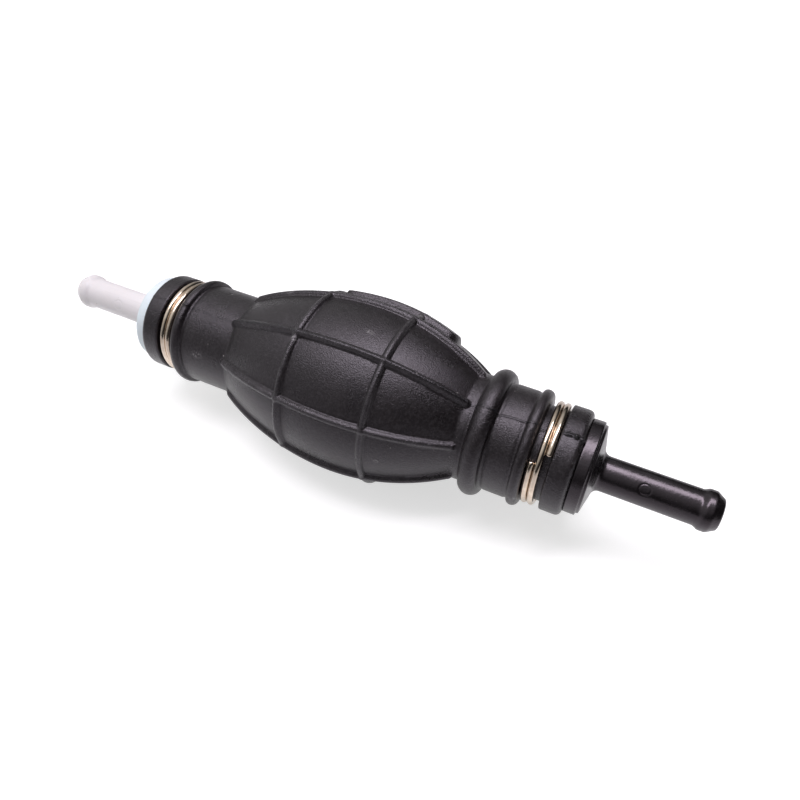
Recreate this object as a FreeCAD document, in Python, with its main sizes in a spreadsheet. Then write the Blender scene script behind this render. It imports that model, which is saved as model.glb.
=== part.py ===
import FreeCAD, Part
import math
import os
import Sketcher

# Hand primer pump for a fuel line, in millimetres.
# The flow runs along +X, from the pale inlet hose tail to the black outlet hose tail. The origin is on the
# flow axis at mid-length, and +Z is up, with the pump lying between two of its long ribs.
# Lengths along the axis that end in _x are distances from the origin, the same at both ends
# unless the name says inlet or outlet side.

SIZES = {
    # rubber bulb: its outer radius, and where its bows meet the two necks
    "bulb_radius": 20.8,
    "bulb_widest_x": 2.0,
    "bulb_inlet_x": 29.3,
    "bulb_outlet_x": 29.3,
    "bulb_wall": 2.6,
    "neck_wall": 3.8,
    # long ribs, ring ribs and the raised plate between two ribs
    "rib_count": 8,
    "rib_height": 1.1,
    "rib_width": 1.7,
    "rib_depth": 1.2,
    "rib_runout": 1.3,
    "rib_end_height": 0.5,
    "rib_turn": 22.5,
    "ring_height": 1.0,
    "ring_width": 1.7,
    "ring_ease": 0.05,
    "inlet_ring_x": 9.9,
    "outlet_ring_x": 11.3,
    "plate_height": 1.5,
    "plate_depth": 1.0,
    "plate_inlet_x": 9.0,
    "plate_outlet_x": 20.5,
    "plate_span": 20.0,
    "plate_turn": -45.0,
    # beads, clamp grooves and cuffs on the necks
    "fat_bead_x": 34.2,
    "fat_bead_height": 2.8,
    "fat_bead_round": 2.6,
    "small_bead_x": 44.1,
    "small_bead_height": 1.0,
    "small_bead_round": 1.5,
    "groove_depth": 2.1,
    "groove_clearance": 0.06,
    "cuff_drop": 0.45,
    "inlet_cuff_round": 0.9,
    "outlet_cuff_round": 1.3,
    # spring wire clamps
    "wire_diameter": 1.5,
    "wire_turns": 1.97,
    "wire_gap": 0.04,
    "wire_seat_gap": 0.05,
    "inlet_clamp_turn": 150.0,
    "outlet_clamp_turn": 55.5,
    # hose fittings
    "tail_end_x": 85.0,
    "tail_radius": 4.0,
    "tail_wall": 1.25,
    "tip_taper": 0.6,
    "tip_length": 1.9,
    "tail_bead_height": 0.55,
    "tail_bead_land": 1.5,
    "tail_bead_slope": 1.0,
    "flange_x": 55.0,
    "flange_overhang": 2.4,
    "flange_rim": 2.8,
    "flange_step": 0.6,
    "flange_cone": 1.0,
    "root_round": 1.5,
    "barrel_radius": 8.3,
    "barrel_wall": 1.7,
    "barrel_end_x": 36.0,
    "barrel_lead": 0.8,
    "barb_count": 3,
    "barb_height": 0.45,
    "barb_pitch": 5.0,
    "barb_length": 2.4,
    "barb_start": 2.6,
    "barb_gap": 0.05,
    "chamber_depth": 18.5,
    "funnel_flare": 1.45,
    # valves: their radii follow from the chamber, and the seat bore is a share of it
    "valve_fit": 0.05,
    "seat_thickness": 3.0,
    "seat_bore_share": 0.485,
    "seat_lip_height": 0.5,
    "seat_lip_width": 0.9,
    "seal_gap": 0.05,
    "seal_thickness": 1.2,
    "seal_overlap": 0.4,
    "rivet_overhang": 0.75,
    "rivet_length": 0.8,
    "hub_radius": 1.25,
    "poppet_overhang": 0.2,
    "poppet_thickness": 1.5,
    "stem_radius": 1.4,
    "stem_length": 5.6,
    "valve_lift": 2.0,
    "cage_length": 9.5,
    "cage_wall": 0.85,
    "cage_plate": 1.5,
    "guide_fit": 0.08,
    "guide_wall": 0.6,
    "flow_hole_count": 6,
    "flow_hole_web": 0.71,
    "spring_clearance": 0.3,
    "spring_wire": 0.35,
    "spring_turns": 4.5,
    "spring_gap": 0.03,
}

doc = FreeCAD.newDocument("hand_primer_pump")
sheet = doc.addObject("Spreadsheet::Sheet", "Sizes")
for row, (alias, number) in enumerate(SIZES.items(), start=1):
    sheet.set("A%d" % row, alias)
    sheet.set("B%d" % row, str(number))
    sheet.setAlias("B%d" % row, alias)
doc.recompute()


class Size:
    """A number together with the sheet formula that gives it."""

    def __init__(self, number, formula):
        self.number = number
        self.formula = formula

    def __add__(self, other):
        other = as_size(other)
        return Size(self.number + other.number, "(%s + %s)" % (self.formula, other.formula))

    def __sub__(self, other):
        other = as_size(other)
        return Size(self.number - other.number, "(%s - %s)" % (self.formula, other.formula))

    def __mul__(self, other):
        other = as_size(other)
        return Size(self.number * other.number, "(%s * %s)" % (self.formula, other.formula))

    def __truediv__(self, other):
        other = as_size(other)
        return Size(self.number / other.number, "(%s / %s)" % (self.formula, other.formula))

    def __neg__(self):
        return Size(-self.number, "(0 - %s)" % self.formula)

    __radd__ = __add__

    def __rmul__(self, other):
        return self * other


def as_size(number):
    """Give a plain number the same form as a size from the sheet."""
    return number if isinstance(number, Size) else Size(float(number), repr(float(number)))


def root(size):
    """Square root of a size."""
    return Size(math.sqrt(size.number), "sqrt(%s)" % size.formula)


class Sheet:
    """Every alias of the sheet as a size."""


S = Sheet()
for alias in SIZES:
    setattr(S, alias, Size(float(getattr(sheet, alias)), "Sizes.%s" % alias))


def new_body(name):
    body = doc.addObject("PartDesign::Body", name)
    body.Label = name
    return body


def origin_plane(body, role):
    """One of the body's own origin planes."""
    return [o for o in body.Origin.OriginFeatures if o.Role == role][0]


def new_sketch(body, name, turn=None):
    """A sketch on the body's XZ plane, turned about X by a size in degrees."""
    sketch = body.newObject("Sketcher::SketchObject", body.Name + "_" + name)
    sketch.AttachmentSupport = [(origin_plane(body, "XZ_Plane"), "")]
    sketch.MapMode = "FlatFace"
    if turn is not None:
        offset = FreeCAD.Rotation(FreeCAD.Vector(1, 0, 0), turn.number)
        sketch.AttachmentOffset = FreeCAD.Placement(FreeCAD.Vector(0, 0, 0), offset)
        sketch.setExpression("AttachmentOffset.Rotation.Angle", turn.formula)
    return sketch


def bind(sketch, kind, places, size):
    """Add a dimension to the sketch, always with a positive value, and tie it to the sheet."""
    if size.number < 0:
        places = places[2:] + places[:2]
        size = -size
    index = sketch.addConstraint(Sketcher.Constraint(kind, *places, size.number))
    sketch.setExpression("Constraints[%d]" % index, size.formula)


def place_point(sketch, geometry, end, x, r):
    """Fix one end of a line or arc at x along the axis and r from it."""
    for kind, size, axis in (("DistanceX", x, -2), ("DistanceY", r, -1)):
        if abs(size.number) < 1e-9:
            sketch.addConstraint(Sketcher.Constraint("PointOnObject", geometry, end, axis))
        else:
            bind(sketch, kind, (-1, 1, geometry, end), size)


def arc_centre(start, end, radius, turns_left):
    """Centre of the short arc from start to end."""
    middle = (start + end) * 0.5
    chord = end - start
    left = FreeCAD.Vector(-chord.y, chord.x, 0).normalize()
    reach = math.sqrt(max(radius ** 2 - (chord.Length / 2) ** 2, 0))
    return middle + left * reach if turns_left else middle - left * reach


def outline(sketch, corners):
    """A closed outline through (x, r) corners. A third entry makes the run to the next corner an arc:
    its radius, with a sign that is positive where the arc turns left and negative where it turns right."""
    corners = [[as_size(c[0]), as_size(c[1])] + list(c[2:]) for c in corners]
    points = [FreeCAD.Vector(c[0].number, c[1].number, 0) for c in corners]
    runs = []
    for k, corner in enumerate(corners):
        start, end = points[k], points[(k + 1) % len(points)]
        if len(corner) == 2:
            index = sketch.addGeometry(Part.LineSegment(start, end), False)
            runs.append((index, 1, 2))
            continue
        radius, turns_left = as_size(corner[2][0]), corner[2][1]
        centre = arc_centre(start, end, radius.number, turns_left)
        first, last = (start, end) if turns_left else (end, start)
        angles = [math.atan2(p.y - centre.y, p.x - centre.x) for p in (first, last)]
        if angles[1] < angles[0]:
            angles[1] += 2 * math.pi
        circle = Part.Circle(centre, FreeCAD.Vector(0, 0, 1), radius.number)
        index = sketch.addGeometry(Part.ArcOfCircle(circle, angles[0], angles[1]), False)
        runs.append((index, 1, 2) if turns_left else (index, 2, 1))
    for k, (index, begin, finish) in enumerate(runs):
        after, after_begin, _ = runs[(k + 1) % len(runs)]
        sketch.addConstraint(Sketcher.Constraint("Coincident", index, finish, after, after_begin))
    for (index, begin, _), corner in zip(runs, corners):
        place_point(sketch, index, begin, corner[0], corner[1])
        if len(corner) > 2:
            radius = as_size(corner[2][0])
            place = sketch.addConstraint(Sketcher.Constraint("Radius", index, radius.number))
            sketch.setExpression("Constraints[%d]" % place, radius.formula)


def left_arc(radius):
    return (radius, True)


def right_arc(radius):
    return (radius, False)


def revolve(body, sketch, name):
    """A full turn of the sketch about the flow axis."""
    feature = body.newObject("PartDesign::Revolution", body.Name + "_" + name)
    feature.Profile = sketch
    feature.ReferenceAxis = (sketch, ["H_Axis"])
    feature.Angle = 360
    return feature


def circle_at(sketch, x, r, radius):
    """A circle in the sketch, centred at x along the axis and r from it."""
    centre = FreeCAD.Vector(x.number, r.number, 0)
    circle = Part.Circle(centre, FreeCAD.Vector(0, 0, 1), radius.number)
    index = sketch.addGeometry(circle, False)
    place_point(sketch, index, 3, x, r)
    place = sketch.addConstraint(Sketcher.Constraint("Radius", index, radius.number))
    sketch.setExpression("Constraints[%d]" % place, radius.formula)


def bow_radius(reach, rise):
    """Radius of an arc that starts level and falls by rise over reach."""
    return (reach * reach + rise * rise) / (2 * rise)


def bow_height(radius, reach):
    """How far such an arc has fallen after reach."""
    return radius - root(radius * radius - reach * reach)


# Sizes that follow from the ones in the sheet
chamber_radius = S.barrel_radius - S.barrel_wall
barb_radius = S.barrel_radius + S.barb_height
neck_bore_radius = barb_radius + S.barb_gap
neck_radius = neck_bore_radius + S.neck_wall
groove_radius = neck_radius - S.groove_depth
cuff_radius = neck_radius - S.cuff_drop
shoulder_x = S.barrel_end_x + S.chamber_depth


def bead_half(height, round_radius):
    """Half the width of a bead where it meets the neck."""
    drop = round_radius - height
    return root(round_radius * round_radius - drop * drop)


small_bead_half = bead_half(S.small_bead_height, S.small_bead_round)
fat_bead_half = bead_half(S.fat_bead_height, S.fat_bead_round)
groove_in_x = S.small_bead_x + small_bead_half
wire_pitch = S.wire_diameter + S.wire_gap
groove_width = wire_pitch * S.wire_turns + S.wire_diameter + 2 * S.groove_clearance
groove_out_x = groove_in_x + groove_width

# The bulb's outline is two bows that meet, level, at its widest place
inlet_reach = S.bulb_widest_x + S.bulb_inlet_x
outlet_reach = S.bulb_outlet_x - S.bulb_widest_x
inlet_bow = bow_radius(inlet_reach, S.bulb_radius - neck_radius)
outlet_bow = bow_radius(outlet_reach, S.bulb_radius - neck_radius)


# Rubber bulb: one moulding, with its ring ribs, long ribs and raised plate
def bulb_height(x, bow, lift=0):
    """Radius of the bulb at x, or of a surface that lies lift above it."""
    return S.bulb_radius + lift - bow_height(bow + lift, x - S.bulb_widest_x)


def ring_corners(x, bow):
    """The corners of a ring rib, up to where the bulb's bow goes on."""
    half = S.ring_width / 2
    crown = half + S.ring_ease
    shoulder = bulb_height(x, bow) + S.ring_height - bow_height(crown, half)
    return [
        (x - half, bulb_height(x - half, bow)),
        (x - half, shoulder, right_arc(crown)),
        (x + half, shoulder),
        (x + half, bulb_height(x + half, bow), right_arc(bow)),
    ]


def add_wall(body):
    """The revolved wall of the bulb and its necks, with the two ring ribs."""
    inner_rise = S.bulb_radius - S.bulb_wall - neck_bore_radius
    wall = new_sketch(body, "wall_outline")
    outline(wall, [
        (-S.flange_x, neck_bore_radius),
        (-S.flange_x, cuff_radius - S.inlet_cuff_round, right_arc(S.inlet_cuff_round)),
        (S.inlet_cuff_round - S.flange_x, cuff_radius),
        (-groove_out_x, cuff_radius),
        (-groove_out_x, groove_radius),
        (-groove_in_x, groove_radius),
        (-groove_in_x, neck_radius, right_arc(S.small_bead_round)),
        (small_bead_half - S.small_bead_x, neck_radius),
        (-S.bulb_inlet_x, neck_radius, right_arc(inlet_bow)),
        *ring_corners(-S.inlet_ring_x, inlet_bow),
        (S.bulb_widest_x, S.bulb_radius, right_arc(outlet_bow)),
        *ring_corners(S.outlet_ring_x, outlet_bow),
        (S.bulb_outlet_x, neck_radius),
        (S.fat_bead_x - fat_bead_half, neck_radius, right_arc(S.fat_bead_round)),
        (S.fat_bead_x + fat_bead_half, neck_radius),
        (S.small_bead_x - small_bead_half, neck_radius, right_arc(S.small_bead_round)),
        (groove_in_x, neck_radius),
        (groove_in_x, groove_radius),
        (groove_out_x, groove_radius),
        (groove_out_x, cuff_radius),
        (S.flange_x - S.outlet_cuff_round, cuff_radius, right_arc(S.outlet_cuff_round)),
        (S.flange_x, cuff_radius - S.outlet_cuff_round),
        (S.flange_x, neck_bore_radius),
        (S.bulb_outlet_x, neck_bore_radius, left_arc(bow_radius(outlet_reach, inner_rise))),
        (S.bulb_widest_x, S.bulb_radius - S.bulb_wall, left_arc(bow_radius(inlet_reach, inner_rise))),
        (-S.bulb_inlet_x, neck_bore_radius),
    ])
    revolve(body, wall, "wall")


def add_ribs(body):
    """The long ribs: one slab whose crest and root follow the bulb's bows, and its pattern."""
    inlet_run, outlet_run = inlet_reach + S.rib_runout, outlet_reach + S.rib_runout
    inlet_end, outlet_end = S.bulb_widest_x - inlet_run, S.bulb_widest_x + outlet_run
    crest_rise = S.bulb_radius + S.rib_height - neck_radius - S.rib_end_height
    root_rise = S.bulb_radius - neck_radius
    root_end = neck_radius - S.rib_depth
    rib = new_sketch(body, "rib_outline", S.rib_turn)
    outline(rib, [
        (inlet_end, root_end),
        (inlet_end, neck_radius + S.rib_end_height, right_arc(bow_radius(inlet_run, crest_rise))),
        (S.bulb_widest_x, S.bulb_radius + S.rib_height, right_arc(bow_radius(outlet_run, crest_rise))),
        (outlet_end, neck_radius + S.rib_end_height),
        (outlet_end, root_end, left_arc(bow_radius(outlet_run, root_rise))),
        (S.bulb_widest_x, S.bulb_radius - S.rib_depth, left_arc(bow_radius(inlet_run, root_rise))),
    ])
    slab = body.newObject("PartDesign::Pad", "rubber_bulb_rib")
    slab.Profile = rib
    slab.Midplane = True
    slab.Length = S.rib_width.number
    slab.setExpression("Length", S.rib_width.formula)
    doc.recompute()
    pattern = body.newObject("PartDesign::PolarPattern", "rubber_bulb_ribs")
    pattern.Originals = [slab]
    pattern.Axis = (rib, ["H_Axis"])
    pattern.Angle = 360
    pattern.Occurrences = int(S.rib_count.number)
    pattern.setExpression("Occurrences", S.rib_count.formula)
    body.Tip = pattern


def add_plate(body):
    """The bare raised plate between two long ribs on the far side."""
    rim_in, rim_out = -S.plate_inlet_x, S.plate_outlet_x
    section = new_sketch(body, "plate_outline", S.plate_turn)
    outline(section, [
        (rim_in, bulb_height(rim_in, inlet_bow, -S.plate_depth)),
        (rim_in, bulb_height(rim_in, inlet_bow, S.plate_height), right_arc(inlet_bow + S.plate_height)),
        (S.bulb_widest_x, S.bulb_radius + S.plate_height, right_arc(outlet_bow + S.plate_height)),
        (rim_out, bulb_height(rim_out, outlet_bow, S.plate_height)),
        (rim_out, bulb_height(rim_out, outlet_bow, -S.plate_depth), left_arc(outlet_bow - S.plate_depth)),
        (S.bulb_widest_x, S.bulb_radius - S.plate_depth, left_arc(inlet_bow - S.plate_depth)),
    ])
    plate = revolve(body, section, "plate")
    plate.Midplane = True
    plate.Angle = S.plate_span.number
    plate.setExpression("Angle", S.plate_span.formula)


def make_rubber_bulb():
    body = new_body("rubber_bulb")
    add_wall(body)
    add_plate(body)
    add_ribs(body)
    return body


# Hose fittings: hose tail, flange and barrel in one turned or moulded piece
def make_fitting(name, side):
    body = new_body(name)
    face_x = S.flange_x + S.flange_rim
    step_x = face_x + S.flange_step
    cone_x = step_x + S.flange_cone
    land_x = S.tail_end_x - S.tip_length
    tail_bore_radius = S.tail_radius - S.tail_wall
    tail_bead_radius = S.tail_radius + S.tail_bead_height
    flange_radius = S.barrel_radius + S.flange_overhang
    corners = [
        (S.tail_end_x, tail_bore_radius),
        (S.tail_end_x, S.tail_radius - S.tip_taper),
        (land_x, tail_bead_radius),
        (land_x - S.tail_bead_land, tail_bead_radius),
        (land_x - S.tail_bead_land - S.tail_bead_slope, S.tail_radius),
        (cone_x + S.root_round, S.tail_radius, "root"),
        (cone_x, S.tail_radius + S.root_round),
        (step_x, flange_radius - S.flange_step),
        (face_x, flange_radius - S.flange_step),
        (face_x, flange_radius),
        (S.flange_x, flange_radius),
        (S.flange_x, S.barrel_radius),
    ]
    for k in range(int(S.barb_count.number)):
        crest_x = S.flange_x - S.barb_start - k * S.barb_pitch
        corners += [
            (crest_x, S.barrel_radius),
            (crest_x, barb_radius),
            (crest_x - S.barb_length, S.barrel_radius),
        ]
    corners += [
        (S.barrel_end_x + S.barrel_lead, S.barrel_radius),
        (S.barrel_end_x, S.barrel_radius - S.barrel_lead),
        (S.barrel_end_x, chamber_radius),
        (shoulder_x, chamber_radius),
        (shoulder_x, tail_bore_radius + S.funnel_flare),
        (shoulder_x + S.funnel_flare, tail_bore_radius),
    ]
    turned = []
    for corner in corners:
        entry = [side * corner[0], corner[1]]
        if len(corner) > 2:
            entry.append(right_arc(S.root_round) if side > 0 else left_arc(S.root_round))
        turned.append(tuple(entry))
    profile = new_sketch(body, "outline")
    outline(profile, turned)
    revolve(body, profile, "turning")
    return body


# Spring wire clamps: a helix of almost two turns in the clamp groove
def make_clamp(name, side, turn):
    body = new_body(name)
    wire_radius = S.wire_diameter / 2
    middle_x = side * (groove_in_x + groove_width / 2)
    section = new_sketch(body, "wire_section", turn)
    start_x = middle_x - wire_pitch * S.wire_turns / 2
    circle_at(section, start_x, groove_radius + S.wire_seat_gap + wire_radius, wire_radius)
    coil = body.newObject("PartDesign::AdditiveHelix", name + "_coil")
    coil.Profile = section
    coil.ReferenceAxis = (section, ["H_Axis"])
    coil.Mode = "pitch-turns-angle"
    coil.Pitch = wire_pitch.number
    coil.Turns = S.wire_turns.number
    coil.setExpression("Pitch", wire_pitch.formula)
    coil.setExpression("Turns", S.wire_turns.formula)
    return body


# Check valves: the same five pieces at each end, opening with the flow
rim_radius = chamber_radius - S.valve_fit
cage_inner_radius = rim_radius - S.cage_wall
seat_bore_radius = chamber_radius * S.seat_bore_share
seal_radius = seat_bore_radius + S.seat_lip_width + S.seal_overlap
guide_radius = S.stem_radius + S.guide_fit
hub_outer_radius = guide_radius + S.guide_wall
poppet_front_x = S.seat_thickness + S.seat_lip_height + S.seal_gap + S.seal_thickness
poppet_back_x = poppet_front_x + S.poppet_thickness
cage_end_x = S.seat_thickness + S.cage_length
plate_x = cage_end_x - S.cage_plate


def make_seat(name, start_x):
    body = new_body(name)
    lip_x = start_x + S.seat_thickness
    profile = new_sketch(body, "outline")
    outline(profile, [
        (start_x, seat_bore_radius),
        (start_x, rim_radius),
        (lip_x, rim_radius),
        (lip_x, seat_bore_radius + S.seat_lip_width),
        (lip_x + S.seat_lip_height, seat_bore_radius + S.seat_lip_width / 2),
        (lip_x + S.seat_lip_height, seat_bore_radius),
    ])
    revolve(body, profile, "ring")
    return body


def make_poppet(name, start_x):
    body = new_body(name)
    front_x = start_x + poppet_front_x
    back_x = start_x + poppet_back_x
    rivet_x = front_x - S.seal_thickness
    profile = new_sketch(body, "outline")
    outline(profile, [
        (rivet_x - S.rivet_length, 0),
        (rivet_x - S.rivet_length, S.hub_radius + S.rivet_overhang),
        (rivet_x, S.hub_radius + S.rivet_overhang),
        (rivet_x, S.hub_radius),
        (front_x, S.hub_radius),
        (front_x, seal_radius + S.poppet_overhang),
        (back_x, seal_radius + S.poppet_overhang),
        (back_x, S.stem_radius),
        (back_x + S.stem_length, S.stem_radius),
        (back_x + S.stem_length, 0),
    ])
    revolve(body, profile, "turning")
    return body


def make_seal(name, start_x):
    body = new_body(name)
    front_x = start_x + poppet_front_x
    profile = new_sketch(body, "outline")
    outline(profile, [
        (front_x - S.seal_thickness, S.hub_radius),
        (front_x - S.seal_thickness, seal_radius),
        (front_x, seal_radius),
        (front_x, S.hub_radius),
    ])
    revolve(body, profile, "washer")
    return body


def make_cage(name, start_x):
    body = new_body(name)
    stop_x = start_x + poppet_back_x + S.valve_lift + S.seal_gap
    profile = new_sketch(body, "outline")
    outline(profile, [
        (start_x + S.seat_thickness, cage_inner_radius),
        (start_x + S.seat_thickness, rim_radius),
        (start_x + cage_end_x, rim_radius),
        (start_x + cage_end_x, guide_radius),
        (stop_x, guide_radius),
        (stop_x, hub_outer_radius),
        (start_x + plate_x, hub_outer_radius),
        (start_x + plate_x, cage_inner_radius),
    ])
    revolve(body, profile, "cup")
    doc.recompute()
    whole = body.Shape.Volume
    hole = body.newObject("Sketcher::SketchObject", name + "_flow_hole_circle")
    hole.AttachmentSupport = [(origin_plane(body, "YZ_Plane"), "")]
    hole.MapMode = "FlatFace"
    hole.AttachmentOffset = FreeCAD.Placement(
        FreeCAD.Vector(0, 0, (start_x + cage_end_x).number), FreeCAD.Rotation())
    hole.setExpression("AttachmentOffset.Base.z", (start_x + cage_end_x).formula)
    flow_circle = (hub_outer_radius + cage_inner_radius) / 2
    flow_hole_radius = (cage_inner_radius - hub_outer_radius) / 2 - S.flow_hole_web
    circle_at(hole, as_size(0), flow_circle, flow_hole_radius)
    pocket = body.newObject("PartDesign::Pocket", name + "_flow_hole")
    pocket.Profile = hole
    pocket.Length = S.cage_plate.number
    pocket.setExpression("Length", S.cage_plate.formula)
    doc.recompute()
    if body.Shape.Volume > whole - 1e-3:
        pocket.Reversed = True
        doc.recompute()
    pattern = body.newObject("PartDesign::PolarPattern", name + "_flow_holes")
    pattern.Originals = [pocket]
    pattern.Axis = (hole, ["N_Axis"])
    pattern.Angle = 360
    pattern.Occurrences = int(S.flow_hole_count.number)
    pattern.setExpression("Occurrences", S.flow_hole_count.formula)
    body.Tip = pattern
    return body


def make_spring(name, start_x):
    body = new_body(name)
    wire_radius = S.spring_wire / 2
    first_x = start_x + poppet_back_x + wire_radius + S.spring_gap
    last_x = start_x + plate_x - wire_radius - S.spring_gap
    section = new_sketch(body, "wire_section")
    circle_at(section, first_x, hub_outer_radius + S.spring_clearance + wire_radius, wire_radius)
    coil = body.newObject("PartDesign::AdditiveHelix", name + "_coil")
    coil.Profile = section
    coil.ReferenceAxis = (section, ["H_Axis"])
    coil.Mode = "height-turns-angle"
    coil.Height = (last_x - first_x).number
    coil.Turns = S.spring_turns.number
    coil.setExpression("Height", (last_x - first_x).formula)
    coil.setExpression("Turns", S.spring_turns.formula)
    return body


bodies = [
    make_rubber_bulb(),
    make_fitting("inlet_fitting", -1),
    make_fitting("outlet_fitting", 1),
    make_clamp("inlet_wire_clamp", -1, S.inlet_clamp_turn),
    make_clamp("outlet_wire_clamp", 1, S.outlet_clamp_turn),
]
# the inlet valve starts at the chamber's shoulder, and the outlet valve ends at its own
for side, start_x in (("inlet", -shoulder_x), ("outlet", shoulder_x - cage_end_x)):
    bodies += [
        make_seat(side + "_valve_seat", start_x),
        make_poppet(side + "_valve_poppet", start_x),
        make_seal(side + "_poppet_seal", start_x),
        make_spring(side + "_valve_spring", start_x),
        make_cage(side + "_valve_cage", start_x),
    ]
doc.recompute()

for item in doc.Objects:
    if "Invalid" in item.State or "Error" in item.State:
        raise RuntimeError("%s failed: %s" % (item.Name, item.State))
for body in bodies:
    if body.Shape.isNull() or not body.Shape.isValid() or len(body.Shape.Solids) != 1:
        raise RuntimeError("%s has no single valid solid" % body.Label)

os.makedirs("parts", exist_ok=True)
for body in bodies:
    body.Shape.exportStep("parts/%s.step" % body.Label)
    box = body.Shape.BoundBox
    print("%-20s volume %9.1f  x %.2f..%.2f  z %.2f..%.2f" % (
        body.Label, body.Shape.Volume, box.XMin, box.XMax, box.ZMin, box.ZMax))
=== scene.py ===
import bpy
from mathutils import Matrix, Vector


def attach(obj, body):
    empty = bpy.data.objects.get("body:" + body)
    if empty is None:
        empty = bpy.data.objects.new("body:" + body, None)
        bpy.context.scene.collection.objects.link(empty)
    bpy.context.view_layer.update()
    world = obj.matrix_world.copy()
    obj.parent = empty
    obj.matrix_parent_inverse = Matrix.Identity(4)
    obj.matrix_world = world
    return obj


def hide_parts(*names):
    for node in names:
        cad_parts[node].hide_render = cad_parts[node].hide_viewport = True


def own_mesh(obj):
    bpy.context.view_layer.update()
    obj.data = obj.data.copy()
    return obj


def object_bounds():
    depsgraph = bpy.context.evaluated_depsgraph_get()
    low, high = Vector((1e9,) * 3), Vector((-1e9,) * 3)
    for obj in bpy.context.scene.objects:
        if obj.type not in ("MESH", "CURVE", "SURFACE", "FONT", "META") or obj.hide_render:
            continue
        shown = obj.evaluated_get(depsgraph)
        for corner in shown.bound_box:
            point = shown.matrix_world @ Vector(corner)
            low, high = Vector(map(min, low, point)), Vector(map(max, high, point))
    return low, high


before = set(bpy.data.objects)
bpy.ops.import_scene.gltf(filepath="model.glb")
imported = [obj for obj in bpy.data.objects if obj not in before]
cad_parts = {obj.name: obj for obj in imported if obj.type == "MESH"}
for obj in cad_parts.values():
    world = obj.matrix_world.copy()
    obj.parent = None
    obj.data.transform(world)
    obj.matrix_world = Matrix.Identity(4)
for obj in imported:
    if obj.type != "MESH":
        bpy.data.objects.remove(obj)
cad_box = [list(corner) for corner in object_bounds()]

# %% [markdown]
# # A hand primer pump
# The object is a rubber squeeze bulb with a hose fitting in each end. Squeezed by hand, it draws fuel
# in at the pale end and pushes it out at the black end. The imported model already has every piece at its
# true size. This lesson dresses it: the rubber, the fittings, the wire clamps and the springs get finer
# meshes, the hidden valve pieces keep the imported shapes, and everything gets a material made of nodes.

# %% Imports and units
from math import pi, radians

import bpy
import numpy as np
from mathutils import Matrix, Vector, noise

MM = 0.001

# %% [markdown]
# ## Drawing an outline
# The rubber and the fittings are all round, so each one starts as an outline: a closed path of
# (x, radius) corners in millimetres, like the one a turner would cut to. A corner may carry the radius
# of an arc to the next corner. Blender's Screw modifier could spin such a path, but a grid that is written
# out lets us raise ribs on it and choose where the rows and columns are dense, so we do that.

# %% Outline helpers
def arc_points(start, end, radius, left, step):
    """Points from start towards end along an arc that turns left or right."""
    chord = end - start
    length = np.hypot(*chord)
    side = np.array([-chord[1], chord[0]]) / length
    reach = np.sqrt(max(radius ** 2 - length ** 2 / 4, 0))
    centre = (start + end) / 2 + side * (reach if left else -reach)
    first = np.arctan2(*(start - centre)[::-1])
    last = np.arctan2(*(end - centre)[::-1])
    turn = (last - first) % (2 * pi) if left else -((first - last) % (2 * pi))
    angles = first + turn * np.arange(0, 1, step / max(abs(turn) * radius, step))
    return centre + radius * np.column_stack([np.cos(angles), np.sin(angles)])


def trace(corners, step=0.05):
    """Closely spaced points along a closed outline."""
    runs = []
    for k, corner in enumerate(corners):
        start = np.array(corner[:2], float)
        end = np.array(corners[(k + 1) % len(corners)][:2], float)
        if len(corner) > 2:
            runs.append(arc_points(start, end, abs(corner[2]), corner[2] > 0, step))
        else:
            count = max(int(np.hypot(*(end - start)) / step), 1)
            runs.append(start + (end - start) * np.arange(count)[:, None] / count)
    return np.vstack(runs)


def soften(points, reach, step=0.05):
    """Round every corner of a closed path a little, as a mould does."""
    size = int(4 * reach / step) + 1
    weights = np.exp(-0.5 * (np.arange(-size, size + 1) * step / reach) ** 2)
    weights /= weights.sum()
    total = np.zeros_like(points)
    for offset, weight in zip(range(-size, size + 1), weights):
        total += weight * np.roll(points, offset, axis=0)
    return total


def respace(points, spacing):
    """Fewer points along a closed path, as far apart as spacing(x, radius) says."""
    gap = np.hypot(*(np.roll(points, -1, axis=0) - points).T)
    wanted = np.concatenate([[0], np.cumsum(gap / spacing(points[:, 0], points[:, 1]))])
    closed = np.vstack([points, points[:1]])
    places = np.linspace(0, wanted[-1], int(wanted[-1]), endpoint=False)
    return np.column_stack([np.interp(places, wanted, closed[:, k]) for k in (0, 1)])


def outward(points):
    """Unit normals of a closed path that runs clockwise."""
    ahead = np.roll(points, -1, axis=0) - np.roll(points, 1, axis=0)
    normals = np.column_stack([-ahead[:, 1], ahead[:, 0]])
    return normals / np.hypot(*normals.T)[:, None]

# %% [markdown]
# ## From an outline to a mesh
# A round piece is a grid: one row for each point of the outline, one column for each angle. The angle
# is measured from the side that faces the camera, upwards, so that 0 is level, 90 is the top and -90 is
# the underside. Both directions close on themselves, so the mesh is watertight with no seam to weld.

# %% Mesh helpers
def grid_faces(rows, columns, closed_rows=True):
    """Quads of a grid whose columns close, and whose rows close if asked."""
    i = np.arange(rows if closed_rows else rows - 1)[:, None]
    j = np.arange(columns)[None, :]
    below, beside = (i + 1) % rows, (j + 1) % columns
    return np.stack([i * columns + j, below * columns + j, below * columns + beside, i * columns + beside],
                    axis=-1).reshape(-1, 4)


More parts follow.
